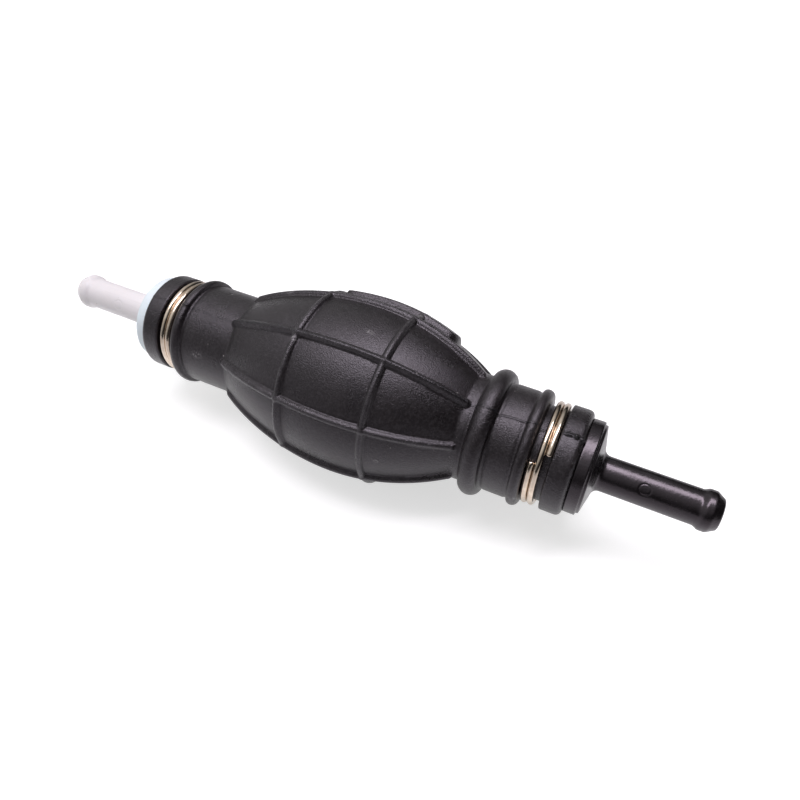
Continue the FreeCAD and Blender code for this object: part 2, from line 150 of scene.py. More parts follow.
def build(name, points, faces, values=None):
    """A smooth mesh object from points in millimetres, with named values on its points."""
    mesh = bpy.data.meshes.new(name)
    mesh.from_pydata((np.asarray(points) * MM).tolist(), [], [list(map(int, f)) for f in faces])
    mesh.polygons.foreach_set("use_smooth", [True] * len(mesh.polygons))
    for key, numbers in (values or {}).items():
        layer = mesh.attributes.new(key, "FLOAT", "POINT")
        layer.data.foreach_set("value", np.asarray(numbers, dtype=np.float32).ravel())
    mesh.update()
    piece = bpy.data.objects.new(name, mesh)
    bpy.context.scene.collection.objects.link(piece)
    print("%s: %d triangles" % (name, sum(len(p.vertices) - 2 for p in mesh.polygons)))
    return piece


def around(x, r, degrees):
    """Points at x and radius r, at an angle up from the side that faces the camera."""
    turn = np.radians(degrees)
    x, r, turn = np.broadcast_arrays(x, r, turn)
    return np.stack([x, -r * np.cos(turn), r * np.sin(turn)], axis=-1)


def turned(name, outline, degrees, height=None):
    """A turned piece, with an optional height raised on it, given for each row and column."""
    normals = outward(outline)
    raised = np.zeros((len(outline), len(degrees))) if height is None else height
    x = outline[:, :1] + normals[:, :1] * raised
    r = outline[:, 1:] + normals[:, 1:] * raised
    return build(name, around(x, r, degrees[None, :]).reshape(-1, 3), grid_faces(len(outline), len(degrees)))

# %% [markdown]
# ## The rubber bulb's outline
# The bulb is one moulding: a cuff, a groove for the wire clamp and a bead on each neck, a fat bead on the
# outlet side only, and a barrel-shaped middle made of two bows that meet where it is widest. Its sizes are
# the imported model's own. The corners are softened by a quarter of a millimetre, which is what makes rubber
# look moulded and not cut.

# %% Bulb outline
WIDEST_X, BULB_R, WALL = 2.0, 20.8, 2.6
NECK_R, BORE_R, GROOVE_R, CUFF_R = 12.6, 8.8, 10.5, 12.15
END_X, INLET_X, OUTLET_X = 55.0, -29.3, 29.3
FAT_X, SMALL_X = 34.2, 44.1
FAT_HALF, SMALL_HALF = 2.59, 1.414
GROOVE_IN, GROOVE_OUT = 45.514, 50.168


def bow(x0, r0, x1, r1):
    """Radius of a bow that is level at its higher end."""
    return ((x1 - x0) ** 2 + (r1 - r0) ** 2) / (2 * abs(r1 - r0))


INNER_R = BULB_R - WALL
bulb_corners = [
    (-END_X, BORE_R),
    (-END_X, CUFF_R - 0.9, -0.9),
    (-END_X + 0.9, CUFF_R),
    (-GROOVE_OUT, CUFF_R),
    (-GROOVE_OUT, GROOVE_R),
    (-GROOVE_IN, GROOVE_R),
    (-GROOVE_IN, NECK_R, -1.5),
    (-SMALL_X + SMALL_HALF, NECK_R),
    (INLET_X, NECK_R, -bow(INLET_X, NECK_R, WIDEST_X, BULB_R)),
    (WIDEST_X, BULB_R, -bow(OUTLET_X, NECK_R, WIDEST_X, BULB_R)),
    (OUTLET_X, NECK_R),
    (FAT_X - FAT_HALF, NECK_R, -2.6),
    (FAT_X + FAT_HALF, NECK_R),
    (SMALL_X - SMALL_HALF, NECK_R, -1.5),
    (GROOVE_IN, NECK_R),
    (GROOVE_IN, GROOVE_R),
    (GROOVE_OUT, GROOVE_R),
    (GROOVE_OUT, CUFF_R),
    (END_X - 1.3, CUFF_R, -1.3),
    (END_X, CUFF_R - 1.3),
    (END_X, BORE_R),
    (OUTLET_X, BORE_R, bow(OUTLET_X, BORE_R, WIDEST_X, INNER_R)),
    (WIDEST_X, INNER_R, bow(INLET_X, BORE_R, WIDEST_X, INNER_R)),
    (INLET_X, BORE_R),
]
RING_XS = (-9.9, 11.3)


def bulb_spacing(x, r):
    """Close rows where the rubber has detail, wide ones inside."""
    gap = np.full(len(x), 0.55)
    for ring_x in RING_XS:
        gap[np.abs(x - ring_x) < 1.5] = 0.17
    gap[np.abs(x) > 28.5] = 0.33
    gap[(np.abs(x) > 44) & (np.abs(x) < 51)] = 0.27
    inner = np.where(np.abs(x) > 29.3, BORE_R + 0.3, BULB_R - 1.6 - 8 * (x / 29.3) ** 2)
    gap[r < inner] = 2.5
    return gap


bulb_outline = respace(soften(trace(bulb_corners), 0.22), bulb_spacing)
print("bulb outline:", len(bulb_outline), "rows")

# %% [markdown]
# ## Columns where the ribs are
# Eight long ribs run along the bulb. A rib is under two millimetres wide, so it needs columns about a fifth
# of a millimetre apart, while the plain rubber between two ribs is happy with one every millimetre or so.
# The mould line and the edges of the plate get a few columns of their own.

# %% Bulb columns
RIB_DEGREES = 22.5 + 45.0 * np.arange(8)
RIB_STEPS = np.array([0, 0.2, 0.4, 0.6, 0.77, 0.88, 0.97, 1.15, 1.5, 2.1]) / BULB_R * 180 / pi
PLATE_DEGREES, PLATE_SPAN = 135.0, 20.0
marks = []
for middle in RIB_DEGREES:
    marks += list(middle + RIB_STEPS) + list(middle - RIB_STEPS[1:])
    marks += list(np.linspace(middle + RIB_STEPS[-1], middle + 45 - RIB_STEPS[-1], 10)[1:-1])
for edge in (PLATE_DEGREES - PLATE_SPAN / 2, PLATE_DEGREES + PLATE_SPAN / 2):
    marks += list(edge + np.array([-1.2, -0.6, 0, 0.6, 1.2]))
marks += list(np.arange(68.0, 75.0, 0.7)) + list(np.arange(248.0, 255.0, 0.7))
bulb_columns = np.unique(np.round(np.mod(marks, 360), 2))
print("bulb columns:", len(bulb_columns))

# %% [markdown]
# ## Ribs, rings and plate
# Each raised form is written as a height over the plain rubber. A rib is a half-round crest with steep
# sides, measured by its distance from the rib's middle line. Past the line's ends the distance is taken
# from the end point, so the rib finishes in a round nose. A ring is the same crest across X. The plate on
# the far side has a flat top, round corners and a short slope at its edge.

# %% Heights of ribs, rings and plate
RIB_HEIGHT, RING_HEIGHT, PLATE_HEIGHT = 1.1, 0.985, 1.4
RIB_HALF, RING_HALF = 0.95, 0.92
RIB_INLET_END, RIB_OUTLET_END = -29.4, 29.5
PLATE_MIDDLE_X, PLATE_HALF, PLATE_CORNER, PLATE_SLOPE = 5.75, 14.75, 2.5, 0.22


def crest(distance, half):
    """Half-round crest with steep sides, 1 at its middle and 0 from half onwards."""
    return np.cos(pi / 2 * np.minimum(np.abs(distance) / half, 1)) ** 0.55


def angle_gap(degrees, middle):
    """Signed difference of two angles, within half a turn."""
    return (degrees - middle + 180) % 360 - 180


outer = outward(bulb_outline)[:, 1] > 0.02
x, r = bulb_outline[:, :1], bulb_outline[:, 1:]
sideways = r * np.radians(bulb_columns % 45 - 22.5)
past_outlet = np.maximum(x - RIB_OUTLET_END, 0)
past_inlet = np.maximum(RIB_INLET_END - x, 0)
ribs = RIB_HEIGHT * crest(np.sqrt(sideways ** 2 + past_outlet ** 2 + past_inlet ** 2), RIB_HALF)
rings = sum(RING_HEIGHT * crest(x - ring_x, RING_HALF) for ring_x in RING_XS)

half_span = BULB_R * radians(PLATE_SPAN) / 2
across = np.abs(r * np.radians(angle_gap(bulb_columns, PLATE_DEGREES))) - (half_span - PLATE_CORNER)
along = np.abs(x - PLATE_MIDDLE_X) - (PLATE_HALF - PLATE_CORNER)
beyond = np.hypot(np.maximum(across, 0), np.maximum(along, 0))
outside = beyond + np.minimum(np.maximum(across, along), 0) - PLATE_CORNER
plate = PLATE_HEIGHT * (0.5 - 0.5 * np.tanh(outside / PLATE_SLOPE))
print("highest rib %.2f, ring %.2f, plate %.2f mm" % (ribs.max(), rings.max(), plate.max()))

# %% [markdown]
# ## Where the ribbed skin starts
# On the inlet side the ribbed skin begins with a low step. It reaches a little further out at each rib, so
# its edge is scalloped, and it fades away towards the middle of the bulb. A tanh makes such a step.
#
# Adding all the heights would make a tall knob at each crossing of a rib and a ring. The fourth root of
# the sum of fourth powers gives the taller one almost everywhere, and swells the crossings only a little.

# %% Skin step and total height
CREASE_X, CREASE_REACH, CREASE_WIDTH, CREASE_SLOPE = -28.2, 1.1, 2.6, 0.35
SKIN, SKIN_END_X, SKIN_FADE = 0.2, -14.0, 12.0
crease_x = CREASE_X - CREASE_REACH * np.exp(-(sideways / CREASE_WIDTH) ** 2)
fade = np.clip((SKIN_END_X - x) / SKIN_FADE, 0, 1)
skin = SKIN * (0.5 + 0.5 * np.tanh((x - crease_x) / CREASE_SLOPE)) * fade
height = (ribs ** 4 + rings ** 4 + plate ** 4) ** 0.25 + skin
# Mask of the rib and ring crests, which are painted paler: partly wear, partly a painted sheen.
crest_wear_and_sheen = np.clip(np.maximum(ribs, rings) / RIB_HEIGHT, 0, 1) ** 2
print("skin step: %.2f mm" % skin.max())

# %% [markdown]
# ## Mould line
# The halves of the mould leave a thin line along each side of the bulb. It is never quite straight or even,
# so a smooth noise moves it sideways and changes its height. On the outlet cuff the mould closed badly, and
# the line swells into lumps of flash.

# %% Mould line
SEAM_DEGREES = (67.5, 247.5)
SEAM_HALF, FLASH_HALF, FLASH_HEIGHT, FLASH_X = 0.23, 0.42, 0.6, 50.4


def swell(distance, half):
    """A soft mound for the line, folds, nubs and dents."""
    return np.exp(-np.abs(distance / half) ** 2.4)


def wander(x, seed):
    """A smooth wobble between about -1 and 1 along x."""
    return np.array([noise.noise(Vector((value, seed, 0.0))) for value in np.ravel(x)]).reshape(np.shape(x))


seam = np.zeros_like(height)
for seed, middle in enumerate(SEAM_DEGREES):
    lumps = np.clip(0.35 + 1.2 * wander(x * 1.4, 5.0 + seed), 0.05, 1)
    chunky = np.clip((x - FLASH_X) / 0.8, 0, 1) * lumps
    path = 0.12 * wander(x * 0.45, 9.3 + seed) + 1.15 * np.clip((x - 36.0) / 16.0, 0, 1)
    off = r * np.radians(angle_gap(bulb_columns, middle)) - path
    low_line = 0.06 + 0.05 * wander(x * 2.1, 2.0 + seed) + 0.05 * np.clip((x - 30.0) / 6.0, 0, 1)
    seam += np.maximum(low_line, 0.02) * swell(off, SEAM_HALF) + FLASH_HEIGHT * chunky * swell(off, FLASH_HALF)
print("mould line: up to %.2f mm" % seam.max())

# %% [markdown]
# ## Folds and nubs
# Rubber creases where a bead meets the neck, which shows as a dark fold at the bead's foot. Each fold is
# written as its X and its depth. A nub is a small round point of rubber that the mould left: its X, its
# angle, its height and its half width.

# %% Folds and nubs
FOLD_HALF = 0.36
FOLDS = [(-SMALL_X + SMALL_HALF, 0.32), (SMALL_X - SMALL_HALF, 0.32),
         (FAT_X - FAT_HALF, 0.30), (FAT_X + FAT_HALF, 0.34)]
NUBS = [(-43.7, 67.5, 0.28, 0.5), (43.9, 62.0, 0.25, 0.5)]
for fold_x, fold_depth in FOLDS:
    height = height - fold_depth * swell(x - fold_x, FOLD_HALF)
for nub_x, nub_degrees, nub_height, nub_half in NUBS:
    away = np.hypot(x - nub_x, r * np.radians(angle_gap(bulb_columns, nub_degrees)))
    height = height + nub_height * swell(away, nub_half)
height = np.where(outer[:, None], height + seam, 0)
print("folds:", len(FOLDS), "nubs:", len(NUBS))

# %% Build the bulb
bulb = turned("bulb", bulb_outline, bulb_columns, height)
# Masks for the colour: the crests, painted paler as wear and sheen, and the mould line, painted darker as shade.
for key, numbers in (("crest_wear_and_sheen", crest_wear_and_sheen), ("seam", np.clip(seam / 0.05, 0, 1))):
    layer = bulb.data.attributes.new(key, "FLOAT", "POINT")
    layer.data.foreach_set("value", np.where(outer[:, None], numbers, 0).astype(np.float32).ravel())
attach(bulb, "pump")
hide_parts("rubber_bulb")

# %% [markdown]
# ## The hose fittings
# Both fittings are the same moulding, pale at the inlet and black at the outlet: a hose tail with a small
# bead at its tip, a thick flange, and a barbed barrel that sits inside the rubber neck. A thin second ledge
# and a shallow cone stand between the flange and the tail. A round ejector pin has left a shallow mark on
# each tail, so its mesh is fine enough to carry a dent a tenth of a millimetre deep.

# %% Fitting outline and mesh
MARK_R, MARK_FLOOR, MARK_RIM = 1.25, 0.03, 0.07


def fitting_corners():
    """The outlet fitting, from the tip's bore, anticlockwise round its section."""
    corners = [
        (85.0, 2.75),
        (85.0, 3.4),
        (83.1, 4.55),
        (81.6, 4.55),
        (80.6, 4.0),
        (60.9, 4.0, -1.5),
        (59.4, 5.5),
        (58.4, 10.1),
        (57.8, 10.1),
        (57.8, 10.7),
        (55.0, 10.7),
        (55.0, 8.3),
    ]
    for crest_x in (52.4, 47.4, 42.4):
        corners += [(crest_x, 8.3), (crest_x, 8.75), (crest_x - 2.4, 8.3)]
    corners += [(36.8, 8.3), (36.0, 7.5), (36.0, 6.6), (54.5, 6.6), (54.5, 4.2), (55.95, 2.75)]
    return corners


def fitting_spacing(x, r):
    """Fine rows on the tail, coarse ones on the hidden barrel and bore."""
    gap = np.full(len(x), 0.28)
    gap[np.abs(np.abs(x) - 69.8) < 2.3] = 0.13
    gap[np.abs(x) < 54.5] = 0.7
    gap[r < 3.0] = 1.5
    return gap


def make_fitting(name, side, mark_x, mark_degrees):
    """One fitting: side is 1 at the outlet and -1 at the inlet."""
    path = respace(soften(trace(fitting_corners()), 0.13), fitting_spacing)[::-1]
    if side < 0:
        path = (path * [-1, 1])[::-1]
    near = np.arange(-24.0, 24.1, 1.6) + mark_degrees
    degrees = np.sort(np.mod(np.concatenate([near, np.arange(near[-1] + 3.0, near[0] + 357.5, 3.0)]), 360))
    off = path[:, 1:] * np.radians(angle_gap(degrees, mark_degrees))
    distance = np.hypot(off, path[:, :1] - mark_x)
    on_tail = (path[:, 1:] > 3.5) & (outward(path)[:, 1:] > 0.5)
    floor_part = MARK_FLOOR * (0.5 - 0.5 * np.tanh((distance - MARK_R) / 0.1))
    dent = -(floor_part + MARK_RIM * swell(distance - MARK_R, 0.16)) * on_tail
    return turned(name, path, degrees, dent)


inlet_fitting = make_fitting("inlet_tail", -1, -70.2, 29.5)
outlet_fitting = make_fitting("outlet_tail", 1, 69.4, 43.0)
for piece, node, slot in ((inlet_fitting, "inlet_fitting", "natural_nylon"),
                          (outlet_fitting, "outlet_fitting", "black_nylon")):
    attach(piece, "pump")
    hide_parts(node)

# %% [markdown]
# ## Wire clamps and springs
# A clamp is almost two turns of round spring wire that grips the rubber in its groove. A spring is a
# finer wire with more turns. Both are the same idea: a small circle swept along a helix. The sweep is
# written out so that the two cut ends can be flat and square, as pliers leave them.

# %% Coil helper
def coil(name, start_x, end_x, radius, wire, turns, start_degrees, around_count, steps):
    """A round wire wound on a helix from start_x to end_x."""
    count = int(turns * steps) + 1
    share = np.linspace(0, 1, count)
    middle_x = start_x + (end_x - start_x) * share
    degrees = start_degrees - 360 * turns * share
    line = around(middle_x, radius, degrees)
    ahead = np.gradient(line, axis=0)
    ahead /= np.linalg.norm(ahead, axis=1)[:, None]
    out = around(0 * share, 1 + 0 * share, degrees)
    out -= ahead * (out * ahead).sum(axis=1)[:, None]
    out /= np.linalg.norm(out, axis=1)[:, None]
    beside = np.cross(ahead, out)
    ring = np.linspace(0, 2 * pi, around_count, endpoint=False)
    rim = np.cos(ring)[None, :, None] * out[:, None, :] + np.sin(ring)[None, :, None] * beside[:, None, :]
    inset = 0.12 * wire
    sections = [line[0] + rim[0] * (wire / 2 - inset)]
    sections += [line[0] + ahead[0] * inset + rim[0] * wire / 2]
    sections += [line[k] + rim[k] * wire / 2 for k in range(1, count - 1)]
    sections += [line[-1] - ahead[-1] * inset + rim[-1] * wire / 2]
    sections += [line[-1] + rim[-1] * (wire / 2 - inset)]
    points = np.vstack(sections)
    faces = [list(f) for f in grid_faces(len(sections), around_count, closed_rows=False)]
    last = (len(sections) - 1) * around_count
    faces.append(list(range(around_count)))
    faces.append([last + k for k in range(around_count)][::-1])
    lengthwise = np.repeat(np.linspace(0, 2 * pi * radius * turns, len(sections)), around_count)
    return build(name, points, faces, {"along": lengthwise})

# %% Make the clamps and springs
CLAMP_R, CLAMP_WIRE, CLAMP_PITCH, CLAMP_TURNS = 11.3, 1.5, 1.54, 1.97
for side, start_degrees, node in ((-1, 172.0, "inlet_wire_clamp"), (1, 34.5, "outlet_wire_clamp")):
    middle_x = side * (GROOVE_IN + GROOVE_OUT) / 2
    half = CLAMP_PITCH * CLAMP_TURNS / 2
    wire = coil(node.replace("wire_", ""), middle_x - half, middle_x + half, CLAMP_R, CLAMP_WIRE,
                CLAMP_TURNS, start_degrees, around_count=24, steps=120)
    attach(wire, "pump")
    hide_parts(node)

SPRING_R, SPRING_WIRE, SPRING_TURNS = 2.555, 0.35, 4.5
for side, first_x, plate_x in (("inlet", -48.25, -43.5), ("outlet", 48.25, 53.0)):
    spring = coil(side + "_spring", first_x + 0.205, plate_x - 0.205, SPRING_R, SPRING_WIRE, SPRING_TURNS,
                  90.0, around_count=10, steps=40)
    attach(spring, "pump")
    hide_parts(side + "_valve_spring")
    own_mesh(spring)

# %% [markdown]
# ## Effects that several materials share
# Small node groups hold the effects that come back on more than one piece or place: a fine moulded grain,
# slow changes of tone, tiny flecks of dust, hairline scratches, and pale patches that are partly scuffs and
# partly painted glints. Each takes plain settings and gives back only a value, so that the shader in each
# material stays free to use it as it likes.

# %% Group helpers
def new_group(name, inputs, outputs):
    """An empty node group with number inputs and outputs, ready to be filled."""
    group = bpy.data.node_groups.new(name, "ShaderNodeTree")
    for label, default in inputs:
        socket = group.interface.new_socket(label, in_out="INPUT", socket_type="NodeSocketFloat")
        socket.default_value = default
    for label in outputs:
        group.interface.new_socket(label, in_out="OUTPUT", socket_type="NodeSocketFloat")
    entry = group.nodes.new("NodeGroupInput")
    leave = group.nodes.new("NodeGroupOutput")
    return group, entry, leave


def add(tree, kind, **settings):
    """A node of that kind, with its properties and its unlinked inputs set."""
    node = tree.nodes.new(kind)
    for key, value in settings.items():
        if key in node.inputs:
            node.inputs[key].default_value = value
        elif key.startswith("in"):
            node.inputs[int(key[2:])].default_value = value
        else:
            setattr(node, key, value)
    return node


def link(tree, source, target):
    tree.links.new(source, target)


def remap(tree, source, low, high, to_low=0.0, to_high=1.0):
    """Spread the values from low..high over to_low..to_high, and clamp them."""
    node = tree.nodes.new("ShaderNodeMapRange")
    for index, value in enumerate((low, high, to_low, to_high), start=1):
        node.inputs[index].default_value = value
    link(tree, source, node.inputs[0])
    return node.outputs[0]


def maths(tree, operation, first, second):
    """A Math node on two sockets or numbers."""
    node = tree.nodes.new("ShaderNodeMath")
    node.operation = operation
    for index, value in enumerate((first, second)):
        if isinstance(value, (int, float)):
            node.inputs[index].default_value = value
        else:
            link(tree, value, node.inputs[index])
    return node.outputs[0]


def textured(tree, kind, scale, stretch=None, **settings):
    """A texture on the piece's own coordinates, scaled by a number or a socket."""
    place = tree.nodes.new("ShaderNodeTexCoord")
    source = place.outputs["Object"]
    if stretch:
        mapping = tree.nodes.new("ShaderNodeMapping")
        mapping.inputs["Scale"].default_value = stretch
        link(tree, source, mapping.inputs["Vector"])
        source = mapping.outputs[0]
    node = add(tree, kind, **settings)
    link(tree, source, node.inputs["Vector"])
    if isinstance(scale, (int, float)):
        node.inputs["Scale"].default_value = scale
    else:
        link(tree, scale, node.inputs["Scale"])
    return node

# %% Moulded grain
grain_group, entry, leave = new_group("moulded grain", [("Scale", 2600.0)], ["Height"])
fine = textured(grain_group, "ShaderNodeTexNoise", entry.outputs["Scale"], Detail=3.0, Roughness=0.6)
pit_scale = maths(grain_group, "MULTIPLY", entry.outputs["Scale"], 0.6)
pits = textured(grain_group, "ShaderNodeTexVoronoi", pit_scale)
pit_depth = maths(grain_group, "MULTIPLY", pits.outputs[0], 0.5)
link(grain_group, maths(grain_group, "ADD", fine.outputs[0], pit_depth), leave.inputs["Height"])

# %% Slow changes of tone
tone_group, entry, leave = new_group("slow tone", [("Scale", 90.0)], ["Tone"])
slow = textured(tone_group, "ShaderNodeTexNoise", entry.outputs["Scale"],
                Detail=4.0, Roughness=0.55, Distortion=0.4)
link(tone_group, remap(tone_group, slow.outputs[0], 0.3, 0.7), leave.inputs["Tone"])

# %% Dust flecks
dust_group, entry, leave = new_group("dust flecks", [("Scale", 900.0), ("Size", 0.08)], ["Fleck"])
cells = textured(dust_group, "ShaderNodeTexVoronoi", entry.outputs["Scale"])
pick = textured(dust_group, "ShaderNodeTexNoise", 260.0, Detail=2.0)
near = maths(dust_group, "LESS_THAN", cells.outputs["Distance"], entry.outputs["Size"])
rare = remap(dust_group, pick.outputs[0], 0.55, 0.72)
link(dust_group, maths(dust_group, "MULTIPLY", near, rare), leave.inputs["Fleck"])

# %% Hairline scratches
scratch_group, entry, leave = new_group("hairline scratches", [("Scale", 700.0)], ["Scratch"])
lines = textured(scratch_group, "ShaderNodeTexNoise", entry.outputs["Scale"], stretch=(0.08, 1.0, 1.0),
                 Detail=2.0, Roughness=0.7, Distortion=0.6)
link(scratch_group, remap(scratch_group, lines.outputs[0], 0.56, 0.70), leave.inputs["Scratch"])

# %% [markdown]
# A patch is partly a scuff, where the skin was touched by something hard, and partly a painted glint, where
# light catches the rubber. The group makes one soft-edged patch round a point of the piece, longer along X
# than across, and breaks it up with a fine noise so that it looks scraped.

# %% Scuffs and painted glints
scuff_and_glint_group, entry, leave = new_group(
    "scuff", [("X", 0.0), ("Y", 0.0), ("Z", 0.0), ("Size", 0.0008)], ["Mask"])
centre = add(scuff_and_glint_group, "ShaderNodeCombineXYZ")
for label in ("X", "Y", "Z"):
    link(scuff_and_glint_group, entry.outputs[label], centre.inputs[label])
place = add(scuff_and_glint_group, "ShaderNodeTexCoord")
offset = add(scuff_and_glint_group, "ShaderNodeVectorMath", operation="SUBTRACT")
link(scuff_and_glint_group, place.outputs["Object"], offset.inputs[0])
link(scuff_and_glint_group, centre.outputs[0], offset.inputs[1])
squeeze = add(scuff_and_glint_group, "ShaderNodeVectorMath", operation="MULTIPLY")
squeeze.inputs[1].default_value = (0.55, 1.0, 1.0)
link(scuff_and_glint_group, offset.outputs[0], squeeze.inputs[0])
reach = add(scuff_and_glint_group, "ShaderNodeVectorMath", operation="LENGTH")
link(scuff_and_glint_group, squeeze.outputs[0], reach.inputs[0])
part_out = maths(scuff_and_glint_group, "DIVIDE", reach.outputs["Value"], entry.outputs["Size"])
inside = remap(scuff_and_glint_group, part_out, 0.4, 1.0, 1.0, 0.0)
broken = textured(scuff_and_glint_group, "ShaderNodeTexNoise", 1900.0, Detail=3.0, Roughness=0.7)
link(scuff_and_glint_group, maths(scuff_and_glint_group, "MULTIPLY", inside, remap(scuff_and_glint_group, broken.outputs[0], 0.46, 0.62)),
     leave.inputs["Mask"])
print("node groups:", [g.name for g in bpy.data.node_groups])

# %% [markdown]
# ## Materials
# Every material starts the same way: a Principled shader, a bump node for its grain, and a colour that
# is mixed between two tones by a slow noise. What differs is the numbers. Values that are the same all
# over a surface are set on the shader's own sockets.

# %% Material helpers
def new_material(name, **shader_values):
    """A material with a Principled shader whose sockets take the given values."""
    material = bpy.data.materials.new(name)
    material.use_nodes = True
    tree = material.node_tree
    shader = tree.nodes["Principled BSDF"]
    for key, value in shader_values.items():
        shader.inputs[key.replace("_", " ")].default_value = value
    return material, tree, shader


def use_group(tree, group, **values):
    node = tree.nodes.new("ShaderNodeGroup")
    node.node_tree = group
    for key, value in values.items():
        node.inputs[key].default_value = value
    return node.outputs[0]


def blend_colour(tree, share, first, second):
    """A colour between two colours or colour sockets."""
    node = tree.nodes.new("ShaderNodeMix")
    node.data_type = "RGBA"
    link(tree, share, node.inputs["Factor"])
    for index, value in ((6, first), (7, second)):
        if isinstance(value, tuple):
            node.inputs[index].default_value = (*value, 1.0)
        else:
            link(tree, value, node.inputs[index])
    return node.outputs[2]


def bump(tree, shader, height, depth, strength=1.0):
    """Feed a height into the shader's normal; depth is in metres."""
    node = add(tree, "ShaderNodeBump", Strength=strength, Distance=depth)
    link(tree, height, node.inputs["Height"])
    link(tree, node.outputs[0], shader.inputs["Normal"])


def attribute(tree, name):
    node = tree.nodes.new("ShaderNodeAttribute")
    node.attribute_name = name
    return node.outputs["Fac"]


def dress(piece, material):
    """Give a piece one material in every slot."""
    if not piece.data.materials:
        piece.data.materials.append(material)
    for slot in piece.material_slots:
        slot.link = "OBJECT"
        slot.material = material

# %% [markdown]
# ### Bulb rubber
# Nitrile rubber is nearly black, so almost all that we see of it is the sheen on its skin. That is why its
# roughness and grain matter more than its colour. The crests of the ribs and rings are painted a little
# paler, partly as wear and partly as a painted sheen where light catches them. The mould line is painted
# darker, as painted shade along its ridge. There is dust, pale specks on the grain that are painted glints,
# and a few pale patches that are partly scuffs and partly painted glints. A patch is written as its place
# on the piece in metres, its size and how strongly it shows.

# %% Bulb rubber
rubber, tree, shader = new_material("bulb rubber", Specular_IOR_Level=0.56,
                                    Specular_Tint=(0.975, 0.91, 1.0, 1.0))
tone = use_group(tree, tone_group, Scale=110.0)
colour = blend_colour(tree, tone, (0.0050, 0.0038, 0.0042), (0.0100, 0.0080, 0.0086))
# Rib and ring crests painted paler: partly wear, partly a painted sheen; the same mask lowers the roughness.
worn_and_lit_crests = maths(tree, "MULTIPLY", attribute(tree, "crest_wear_and_sheen"),
             remap(tree, use_group(tree, tone_group, Scale=420.0), 0.2, 0.9, 0.2, 1.0))
colour = blend_colour(tree, maths(tree, "MULTIPLY", worn_and_lit_crests, 0.45), colour, (0.065, 0.061, 0.066))
# The mould line is painted darker: painted shade along its small ridge.
painted_seam_shade = maths(tree, "MULTIPLY", attribute(tree, "seam"), 0.9)
colour = blend_colour(tree, painted_seam_shade, colour, (0.002, 0.0018, 0.0022))
colour = blend_colour(tree, maths(tree, "MULTIPLY", use_group(tree, dust_group), 0.5), colour, (0.30, 0.29, 0.28))
colour = blend_colour(tree, use_group(tree, dust_group, Scale=340.0, Size=0.055), colour, (0.36, 0.34, 0.33))
# Pale specks on the grain's high points: painted glints.
painted_grain_glints = use_group(tree, grain_group, Scale=2600.0)
colour = blend_colour(tree, remap(tree, painted_grain_glints, 0.72, 0.92, 0.0, 0.08), colour, (0.14, 0.135, 0.14))
# Pale patches, each with its place, size and strength: partly scuffs, partly painted glints.
SCUFFS_AND_GLINTS = [((0.0122, 0.0107, 0.0180), 0.0019, 0.55), ((-0.0100, -0.0097, 0.0184), 0.0008, 0.8),
          ((-0.0375, -0.0119, 0.0041), 0.0011, 0.45), ((0.0055, -0.0025, 0.0206), 0.0007, 0.7),
          ((0.0150, -0.0191, 0.0), 0.0006, 0.7), ((0.0450, -0.0133, -0.0031), 0.0012, 0.4),
          ((-0.0210, 0.0060, 0.0168), 0.0009, 0.4), ((0.0080, 0.0178, -0.0100), 0.0013, 0.4)]
for (px, py, pz), size, share in SCUFFS_AND_GLINTS:
    mask = maths(tree, "MULTIPLY", use_group(tree, scuff_and_glint_group, X=px, Y=py, Z=pz, Size=size), share)
    colour = blend_colour(tree, mask, colour, (0.34, 0.33, 0.33))
link(tree, colour, shader.inputs["Base Color"])
polish = maths(tree, "MULTIPLY", worn_and_lit_crests, -0.05)
link(tree, maths(tree, "ADD", remap(tree, tone, 0, 1, 0.255, 0.325), polish), shader.inputs["Roughness"])
bump(tree, shader, use_group(tree, grain_group, Scale=4600.0), 0.00009, 0.9)
dress(bulb, rubber)

# %% [markdown]
# ### Nylon fittings
# The inlet fitting is natural nylon, milky and slightly see-through at its edges, cooler at the flange
# and warmer along the tail. The outlet fitting is black nylon with a satin skin.

# %% Natural nylon
pale, tree, shader = new_material("natural nylon", Specular_IOR_Level=0.45, Subsurface_Weight=0.25,
                                  Subsurface_Scale=0.0015)
shader.inputs["Subsurface Radius"].default_value = (1.0, 0.9, 0.8)
place = tree.nodes.new("ShaderNodeTexCoord")
split = tree.nodes.new("ShaderNodeSeparateXYZ")
link(tree, place.outputs["Object"], split.inputs[0])
tail = remap(tree, split.outputs[0], -0.0585, -0.0615)
colour = blend_colour(tree, tail, (0.70, 0.79, 0.83), (0.725, 0.70, 0.71))
tone = use_group(tree, tone_group, Scale=260.0)
colour = blend_colour(tree, maths(tree, "MULTIPLY", tone, 0.25), colour, (0.62, 0.60, 0.60))
scratches = maths(tree, "MULTIPLY", use_group(tree, scratch_group, Scale=900.0), 0.10)
colour = blend_colour(tree, scratches, colour, (0.35, 0.33, 0.32))
colour = blend_colour(tree, use_group(tree, dust_group, Scale=620.0, Size=0.07), colour, (0.10, 0.08, 0.08))
link(tree, colour, shader.inputs["Base Color"])
link(tree, remap(tree, tone, 0, 1, 0.34, 0.46), shader.inputs["Roughness"])
bump(tree, shader, use_group(tree, grain_group, Scale=1800.0), 0.00003, 0.5)
dress(inlet_fitting, pale)

